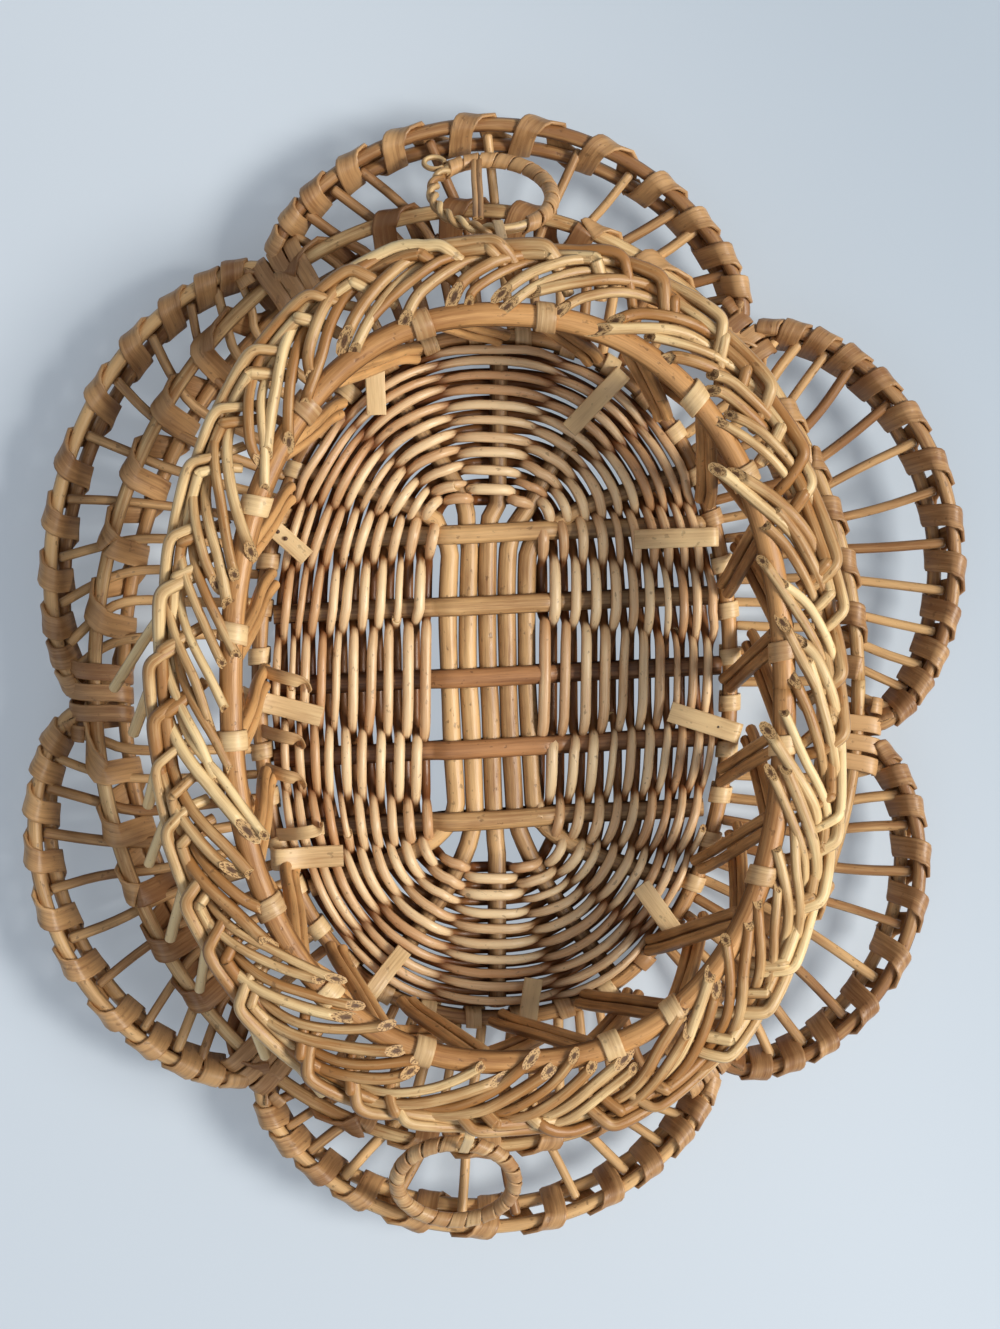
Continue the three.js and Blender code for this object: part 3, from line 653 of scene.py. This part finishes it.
outer = Rods(41)
for i in range(stake_count):
    place = (i + 0.5) / stake_count
    facing = unit((0, 0, 0.75) - foot.outward(place - 0.5 / stake_count))
    line = wall_line(place, -1, climb=[0.07, 0.13, 0.5, 0.96], out=[0.0060, 0.0063, 0.0043, 0.0019],
                     height=[0.0122, 0.0155, 0.040, 0.0708])
    add_pair(outer, line, facing, stake_radius, 0.001)
outer.build("outer_stakes", brown, "basket", ["rim_hoop_outer_stakes"])

rim_hoop = Rods(43)
rim_hoop.add(raised(rim.at(share), rim_height), rim_radius * (1 + rim_hoop.wobble(len(share), 0.05, 5)),
             outline=ring_outline(16), tone=0.45)
hooped = willow("hoop_willow", paint(232, 176, 112), paint(160, 108, 60), 0.3)
rim_hoop.build("rim_hoop", hooped, "basket", [])

curl_places = (0.494, 0.526, 0.546, 0.582)
curl_route = np.array([[0, 9], [4, 15], [9, 20], [14, 21], [18, 17], [17, 14]]) * 0.001
curl_half_width = 0.0024
bindings = Rods(42)
for i in range(2 * stake_count):
    place = (i + 0.5) / (2 * stake_count)
    add_wrap(bindings, oval_places(foot, rib_height), foot_radius + foot_binding_gap,
             place - 0.002, place + 0.002, turns=1.2, width=binding_width, sides=20)
for i in range(rim_bindings):
    place = (i + bindings.chance.uniform(0.25, 0.75)) / rim_bindings
    lean = bindings.chance.uniform(-0.004, 0.004)
    add_wrap(bindings, oval_places(rim, rim_height), rim_radius + rim_binding_gap,
             place - lean, place + lean, turns=1.1, width=rim_binding_width, sides=24)
for place in curl_places:
    curl = curl_route * bindings.chance.uniform(0.8, 1.1)
    line = raised(foot.at(np.full(len(curl), place)) - foot.outward(place) * curl[:, :1], curl[:, 1])
    line[:, 1] += np.linspace(0, bindings.chance.uniform(-0.008, 0.008), len(curl))
    bindings.add(soften(line), curl_half_width, facing=(-0.7, 0, 0.7), outline=flat_strip)
bindings.build("wall_bindings", cane, "basket", [])


# Border: a plait of paired willow rods outside the rim hoop. Each pair starts at a cut end inside,
# slants outward on top, runs along the outer edge, folds sharply over it and dives inward. Loose
# tails of rods come out below it from the left middle to the lower left.

border = Oval(0.1136, 0.1469, fullness=2.2, dent=0.05)
border_pairs = 40
border_rod = 0.0021
border_narrowing = 0.2
tail_count = 8
hinges = {joint["child"]: joint for joint in frame["joints"]}
# Each ring and the degrees from level at which it leans at the end of its swing
swung_up = (("top", 90), ("bottom", 101))


def border_line(along, out, height, place):
    """Points at lengths clockwise from a place round the border, outward of its middle line."""
    share = place - np.asarray(along) / border.length
    line = border.at(share) + border.outward(share) * np.asarray(out)[:, None]
    return raised(line, np.asarray(height))


def kept_clear(line):
    """Squeezes rods behind the planes in which the rings lean when they are swung up: the last
    12 mm outward go into 8 mm, which end a ring's and a rod's radius short of the plane. The
    squeeze fades out beside a ring."""
    squeeze = 0.008
    clearance = 0.0056
    ring_side = 0.036
    fade = 0.009
    for name, lean in swung_up:
        joint = hinges[f"{name}_ring"]
        axis = unit(np.array(joint["axis"]))
        outward = np.array([-axis[1], axis[0], 0])
        offset = line - joint["pos_m"]
        out = offset @ outward
        near = np.clip((ring_side - np.abs(offset @ axis)) / fade, 0, 1)
        limit = -offset[:, 2] * math.tan(math.radians(lean - 90)) - clearance
        squeezed = np.minimum(limit - squeeze + (out - limit + squeeze) * 0.65, limit)
        excess = np.maximum(out - squeezed, 0) * (out > limit - squeeze) * near
        line = line - outward * excess[:, None]
    return line


# The way of a pair, in columns: millimetres along the border, outward of its middle line, and up
route = np.array([
    [0, -11.6, 76.2], [8, -7.2, 76.5], [16, -2.6, 76.4], [24, 1.8, 74.4], [33, 5.2, 70.8],
    [44, 7.0, 68.8], [56, 7.7, 68.8], [67, 8.2, 71.8], [75.6, 8.7, 74.2], [77.6, 8.3, 74.9],
    [78.6, 6.9, 75.0], [82.8, 0.8, 73.4], [86.8, -5.2, 70.8],
]) * 0.001
plait = Rods(50)
for i in range(border_pairs):
    place = (i + plait.chance.uniform(-0.12, 0.12)) / border_pairs
    turn = 2 * math.pi * place
    shift = plait.chance.normal(0, (0.0016, 0.0008, 0.0002))
    splay = plait.chance.normal(0, 0.0017)
    # painted shade: the rods are darker at the top of the border and darkest at the bottom
    shade = 0.08 * math.sin(turn) - 0.35 * math.sin(turn) ** 2
    crossing = plait.chance.uniform(0, 1) ** 2
    for side in (-1, 1):
        own = route + shift
        own[:, 1] -= (own[:, 1] - route[0, 1]) * border_narrowing * dented(place)
        parted = splay + side * abs(plait.chance.normal(0, 0.0008))
        own[0] += (plait.chance.uniform(-0.008, 0.007), parted, 0)
        own[0] += np.array([-0.009, -0.0060, 0.0018]) * crossing
        own[1:3, 1] += parted * np.array([0.7, 0.3])
        own[7:, 0] += plait.chance.uniform(-0.0055, 0.005)
        own[-1, 0] += plait.chance.uniform(-0.003, 0.003)
        smooth = soften(own)
        flow = unit(np.gradient(smooth[:, :2], axis=0))
        smooth[:, 0] -= flow[:, 1] * side * border_rod
        smooth[:, 1] += flow[:, 0] * side * border_rod
        smooth[:, 2] += plait.wobble(len(smooth), 0.0004)
        swell = np.interp(smooth[:, 0], [0, 0.03, 0.076, 0.087], [1.04, 0.96, 1.16, 1.0])
        size = border_rod * plait.chance.uniform(0.78, 1.08) * swell
        line = kept_clear(border_line(smooth[:, 0], smooth[:, 1], smooth[:, 2], place))
        plait.add(line, size, slant=(plait.chance.uniform(1.0, 2.6), 0),
                  tone=shade + plait.chance.uniform(0.05, 0.9))
for i in range(tail_count):
    place = 0.46 + 0.21 * (i + plait.chance.uniform(-0.25, 0.25)) / tail_count
    reach = plait.chance.uniform(0.017, 0.026)
    fall = plait.chance.uniform(0.018, 0.032)
    line = border_line([0.004, -0.006, -fall], [0.002, 0.010, reach], [0.068, 0.062, 0.046], place)
    plait.add_round(soften(line), border_rod * plait.chance.uniform(0.9, 1.05), tone=0.9)
plait.build("border_plait", pale, "basket",
            [f"border_plait_strand_{i}" for i in (1, 2, 3)])


# Double hoop: a pale rod above and outside and a brown rod below and inside, which clamp the
# spokes between them; the lower rod's darker willow is painted shade. Skein runs round both,
# with broad bands where two petals meet.

hoop = Oval(0.139, 0.1695, fullness=2, centre=-0.005, dent=0.03)
hoop_height = 0.016
hoop_radius = 0.0026
rod_spread = 0.0095
rod_nest = 0.0046
spoke_slope = 0.16
spoke_gather = 0.86
hoop_skein_width = 0.0090
band_degrees = 8
band_turns = 3.2
band_middle = 0.0028
band_half = (0.0109, 0.0080)
band_half_width = 0.0031
# Each petal: its name, its first and last degree round the hoop, its reach beyond the hoop's
# middle line, the share by which it is drawn in at its last degree, and the number of its spokes
petals = [
    ("right_upper", -7, 49, 0.0472, 0, 13), ("top", 49, 122, 0.0354, 0, 12),
    ("left_upper", 122, 182, 0.029, 0.12, 11), ("left_lower", 182, 235, 0.0383, 0.16, 11),
    ("bottom", 235, 305, 0.034, 0, 12), ("right_lower", 305, 353, 0.0416, 0, 10),
]


def collar(degrees, out, above):
    """Points outside the hoop's middle line and above the slope that the spokes lie in."""
    degrees, out, above = np.broadcast_arrays(degrees, out, above)
    turn = degrees / 360
    line = hoop.at_turn(turn) + hoop.outward_turn(turn) * out[..., None]
    return raised(line, hoop_height + spoke_slope * out + above)


def spoke_shares(count):
    """The shares of a petal's rim at which its spokes end."""
    return (np.arange(count) + 0.8) / (count + 0.6)


def spoke_bends(petal):
    """The degrees round the hoop at which a petal's spokes cross it."""
    low, high = petal[1:3]
    return (low + high) / 2 + (spoke_shares(petal[-1]) - 0.5) * (high - low) * spoke_gather


def add_binding(rods, outer_at, inner_at, marks, width, reach):
    """Skein round two rods. In each turn it comes over the outer rod, goes down behind the inner
    one, back below both and up outside, at the places that marks gives for each turn."""
    for turns in marks:
        turns = np.asarray(turns, float)
        stages = np.arange(16 * (len(turns) - 1) + 1) / 16
        k = np.minimum(stages.astype(int), len(turns) - 2)
        ahead = np.interp(stages - k, [0, 0.28, 0.45, 0.8, 0.92, 1.0], [0, 0.1, 0.2, 0.85, 0.95, 1.0])
        place = turns[k] + (turns[k + 1] - turns[k]) * ahead
        outer_line = outer_at(place)
        inner_line = inner_at(place)
        across = unit(outer_line - inner_line)
        later = unit(outer_at(place + 0.01) - outer_at(place - 0.01))
        rise = unit(np.cross(across, later))
        angle = 2 * np.pi * stages + np.pi / 4
        side = np.cos(angle)[:, None]
        blend = np.clip(side * 2.2 + 0.5 * np.sign(side), -1, 1) * 0.5 + 0.5
        centre = inner_line * (1 - blend) + outer_line * blend
        face = unit(across * side + rise * np.sin(angle)[:, None])
        rods.add(centre + face * reach, width / 2, facing=face, outline=flat_strip)


hoop_rods = Rods(60)
degrees = np.linspace(0, 360, 241)
hoop_rods.add(collar(degrees, rod_spread / 2, rod_nest),
              hoop_radius * (1 + hoop_rods.wobble(len(degrees), 0.05, 5)), outline=ring_outline(12))
hoop_rods.build("outer_hoop_upper", pale, "basket", ["outer_hoop_upper_rod"])
# painted shade: the lower rod is made of darker willow than the upper one
lower_rods = Rods(61)
lower_rods.add(collar(degrees, -rod_spread / 2, -rod_nest),
               hoop_radius * (1 + lower_rods.wobble(len(degrees), 0.05, 5)), outline=ring_outline(12))
lower_rods.build("outer_hoop_lower", brown, "basket", ["outer_hoop_lower_rod"])

hoop_skein = Rods(62)
bends = np.concatenate([spoke_bends(petal) for petal in petals])
gaps = (bends + np.append(bends[1:], bends[0] + 360)) / 2
marks = [gaps[k:k + 9:2] for k in range(0, len(gaps) - 8, 8)]
add_binding(hoop_skein, lambda degrees: collar(degrees, rod_spread / 2, rod_nest),
            lambda degrees: collar(degrees, -rod_spread / 2, -rod_nest), marks,
            width=hoop_skein_width, reach=hoop_radius + 0.0006)
for low in (petal[1] for petal in petals):
    around = np.linspace(0, 1, 73)
    angle = 2 * np.pi * band_turns * around
    side = np.sign(np.cos(angle)) * np.abs(np.cos(angle)) ** 0.5
    rise = np.sign(np.sin(angle)) * np.abs(np.sin(angle)) ** 0.5
    place = low - band_degrees / 2 + band_degrees * around
    line = collar(place, band_middle + band_half[0] * side, band_half[1] * rise)
    middle = collar(place, band_middle, 0)
    hoop_skein.add(line, band_half_width, facing=unit(line - middle), outline=flat_strip)
hoop_skein.build("outer_hoop_binding", bark, "basket", ["outer_hoop_skein"])


# Petals: an outer and an inner rim rod bow out from the hoop. Spokes run from the foot ring
# through the hoop to the outer rod, and skein binds the two rods with one turn to each spoke. The
# spokes of the top petal end at uneven gaps.

spoke_radius = 0.0019
spoke_stray = 0.0016
rim_spread = 0.0054
rim_gap = 0.0003
butt_outward = 0.0036
tip_inward = 0.0034
tip_below = 0.0034
petal_skein_width = 0.0084


def rim_at(petal, inset, margin, above):
    """The line of a petal's rim rod: out = start + (reach - inset - start) sin(pi s)^0.6
    (1 - drawn s), where s is a share of its degrees that crowds its points into the corners."""
    low, high, reach, drawn = petal[1:5]
    start = rod_spread / 2 + hoop_radius * 2 + rim_gap

    def at(share):
        even = np.clip(share, 0, 1)
        crowded = even - 0.08 * np.sin(2 * np.pi * even)
        bow = np.sin(np.pi * np.clip(crowded, 0, 1)) ** 0.6 * (1 - drawn * crowded)
        degrees = low + margin + (high - low - 2 * margin) * crowded
        return collar(degrees, start + (reach - inset - start) * bow, above)

    return at


for number, petal in enumerate(petals):
    name = petal[0]
    count = petal[-1]
    outer_rim = rim_at(petal, 0, margin=1.2, above=0.004)
    inner_rim = rim_at(petal, rim_spread, margin=2.2, above=-0.0037)
    even = np.linspace(0, 1, 61)
    rim_rod = Rods(70 + number)
    rim_rod.add_round(outer_rim(even), hoop_radius * (1 + rim_rod.wobble(len(even), 0.06, 4)))
    rim_rod.build(f"petal_{name}_outer_rim", golden, "basket", [f"petal_{name}_rim"])
    spokes = Rods(80 + number)
    spokes.add_round(inner_rim(even), hoop_radius * (1 + spokes.wobble(len(even), 0.06, 4)))
    tip_stray = 0.024 if name == "top" else 0.005
    for share, bend in zip(spoke_shares(count), spoke_bends(petal)):
        at_bend = collar(bend, -rod_spread / 2, 0)
        butt = foot.at_turn(bend / 360 % 1) + foot.outward_turn(bend / 360) * butt_outward
        butt = raised(butt, rib_height)
        tip = outer_rim(share + spokes.chance.uniform(-1, 1) * tip_stray)
        tip = tip + unit((at_bend - tip) * (1, 1, 0)) * tip_inward - (0, 0, tip_below)
        stray = spokes.chance.uniform(-spoke_stray, spoke_stray, (3, 1))
        aside = np.cross(unit(tip - at_bend), (0, 0, 1)) * stray
        line = soften([butt, butt * 0.5 + at_bend * 0.5, at_bend + aside[0],
                       at_bend * 0.5 + tip * 0.5 + aside[1], tip + aside[2]])
        spokes.add_round(line, spoke_radius * spokes.chance.uniform(0.92, 1.12), outline=ring_outline(8))
    spokes.build(f"petal_{name}_spoke_set", golden, "basket", [f"petal_{name}_spokes"])
    skein = Rods(90 + number)
    middles = (np.arange(count - 1) + 1.3) / (count + 0.6)
    middles += skein.chance.uniform(-0.006, 0.006, count - 1)
    marks = [np.concatenate([[0.02], middles, [0.98]])]
    add_binding(skein, outer_rim, inner_rim, marks, petal_skein_width, reach=hoop_radius + 0.0005)
    skein.build(f"petal_{name}_binding", bark, "basket", [f"petal_{name}_skein"])


# Skein tabs: strips of split cane that tie the mat's edge down. Each comes up at the foot ring,
# bends over the mat's edge and ends on the weave in a square cut. Iron nails hold three of them.

# Each tab's end on the weave and the place where it bends, in millimetres
tabs = np.array([
    [[51, 53], [81, 54]], [[26, 94], [45, 114]], [[-46, 99], [-47, 121]], [[-72, 46], [-90, 62]],
    [[-67, -13], [-94, -6]], [[-59, -65], [-83, -66]], [[-36, -101], [-49, -117]],
    [[13, -113], [10, -132]], [[54, -78], [69, -99]], [[65, -12], [90, -20]],
]) * 0.001
tab_rest = 0.0146
thin_strip = ring_outline(10, 1.0, 0.12, 0.35)
for number, (free, bent) in enumerate(tabs):
    tab = Rods(100 + number)
    heading = unit(bent - free)
    length = np.linalg.norm(bent - free)
    reach = np.append([-0.0005, 0.001], length + np.array([-0.010, -0.002, 0.0012, 0.002]))
    line = np.append(free + heading * reach[:, None], np.zeros((len(reach), 1)), 1)
    on_weave = tab_rest + tab.chance.uniform(0, 0.0012)
    height = np.array([on_weave, on_weave, 0.0153, 0.0182, 0.0176, 0.0110])
    tab.add(soften(raised(line, height)), tab.chance.uniform(0.0031, 0.0041), outline=thin_strip,
            tone=tab.chance.uniform(0.7, 1.0))
    tab.build(f"skein_tab_{number + 1}", cane, "basket", [f"mat_skein_tab_{number + 1}"])

iron = Look("nail_iron")
iron_place = iron.node("ShaderNodeTexCoord", {}, {}, 3)
rust = iron.noise(iron_place, (1500, 1500, 1500)).above(0.4, 0.6)
iron.feed(iron.shader.inputs["Base Color"], iron.mix(rust, paint(58, 46, 38), paint(96, 62, 40)))
iron.feed(iron.shader.inputs["Roughness"], 0.55)
nail_radius = 0.0008
nail_foot = 0.0150
nail_height = 0.0014
nails = Rods(115)
# Each nail's tab and how far along the tab it is
for number, part in ((3, 0.42), (3, 0.58), (7, 0.75), (9, 0.72)):
    free, bent = tabs[number]
    spot = np.append(free * (1 - part) + bent * part, nail_foot)
    shank = spot + np.array([[0, 0, 0], [0, 0, nail_height / 2], [0, 0, nail_height]])
    nails.add_round(shank, nail_radius, facing=(0, 1, 0))
nails.build("tab_nails", iron, "basket", [])


# Hanging rings: a ring of thin rod wound with skein hangs at each end in a loop of skein. The top
# ring is bare on one side, where its end is twisted back, and a double strand crosses it.

ring_radius = 0.0213
ring_rod = 0.0018
twist_turns = 5
rod_inward = 0.0082
rod_above = 0.0112
rod_reach = 0.0040
ring_skein_width = 0.0054
twist_radius = 0.0012
curl_radius = 0.0038
curl_rod = 0.001
loop_half_width = 0.0018
strand_route = np.array([[-5.0, 40.5], [-6.0, 30], [-6.4, 18], [-7.5, 4.5]]) * 0.001
strand_radius = 0.0011
strand_pitch = 0.0019
strand_lift = 0.0016
# Each ring: its name, its fall in degrees, the shares between which it is bound, and the turns
ring_kinds = (("top", 45, (0.08, 0.62), 11), ("bottom", 34, (0.02, 0.98), 20))


def ring_places(hinge, axis, reach):
    """What add_wrap needs to know of a ring that passes through its hinge at right angles to the
    way from there to its middle."""
    normal = np.cross(axis, reach)

    def point_at(share):
        angle = 2 * np.pi * share[:, None]
        centre = hinge + ring_radius * (axis * np.sin(angle) + reach * (1 - np.cos(angle)))
        inward = reach * np.cos(angle) - axis * np.sin(angle)
        return centre, inward, np.broadcast_to(normal, inward.shape)

    return point_at


for number, (name, fall, bound, turns) in enumerate(ring_kinds):
    droop = math.radians(fall)
    hinge = np.array(hinges[f"{name}_ring"]["pos_m"])
    axis = unit(np.array(hinges[f"{name}_ring"]["axis"]))
    outward = np.array([-axis[1], axis[0], 0])
    reach = outward * math.cos(droop) - np.array([0, 0, math.sin(droop)])
    normal = np.cross(axis, reach)
    on_ring = ring_places(hinge, axis, reach)
    ring = Rods(120 + number)
    centre = on_ring(np.linspace(-0.01, bound[1] + 0.02, 73))[0]
    ring.add(centre, ring_rod, facing=normal, outline=ring_outline(10))
    winding = Rods(124 + number)
    add_wrap(winding, on_ring, ring_rod + 0.0005, *bound, turns, ring_skein_width)
    if name == "top":
        centre, inward, up = on_ring(np.linspace(0.58, 1.01, 73))
        twist = np.linspace(0, twist_turns * 2 * np.pi, 73)[:, None]
        for start in (0, np.pi):
            aside = inward * np.cos(twist + start) + up * np.sin(twist + start)
            ring.add(centre + aside * twist_radius, twist_radius, facing=normal, outline=ring_outline(8))
        centre, inward, up = on_ring(np.full(25, 0.63))
        curl = np.linspace(0, 1.8 * np.pi, 25)[:, None]
        bow = inward * (np.cos(curl) - 1.4) + np.cross(inward, up) * np.sin(curl)
        ring.add(centre + bow * curl_radius + up * curl_rod, curl_rod, facing=normal,
                 outline=ring_outline(8))
        for aside in (0, strand_pitch):
            across = axis * (strand_route[:, :1] + aside)
            strand = soften(hinge + across + reach * strand_route[:, 1:] + normal * strand_lift)
            winding.add(strand, strand_radius, facing=normal, outline=ring_outline(8, 1, 0.6))
    ring.build(f"ring_{name}_rod", pale, f"{name}_ring", [f"ring_{name}"])
    bound_look = bark if name == "top" else cane
    winding.build(f"ring_{name}_winding", bound_look, f"{name}_ring",
                  [f"ring_{name}_skein"])
    loop = Rods(128 + number)
    border_place = hinge - outward * rod_inward + np.array([0, 0, rod_above])
    drop = unit(hinge - border_place)
    side = np.cross(drop, axis)
    angle = np.radians(np.linspace(90, 450, 49))[:, None]
    near_border = np.clip(-np.cos(angle) * 3 + 0.5, 0, 1)
    face = drop * np.cos(angle) + side * np.sin(angle)
    size = (ring_rod + 0.0012) * (1 - near_border) + rod_reach * near_border
    middle = hinge * (1 - near_border) + border_place * near_border
    loop.add(middle + face * size, loop_half_width, facing=face, outline=flat_strip)
    loop.build(f"ring_{name}_hanger", cane, "basket", [f"ring_{name}_loop"])
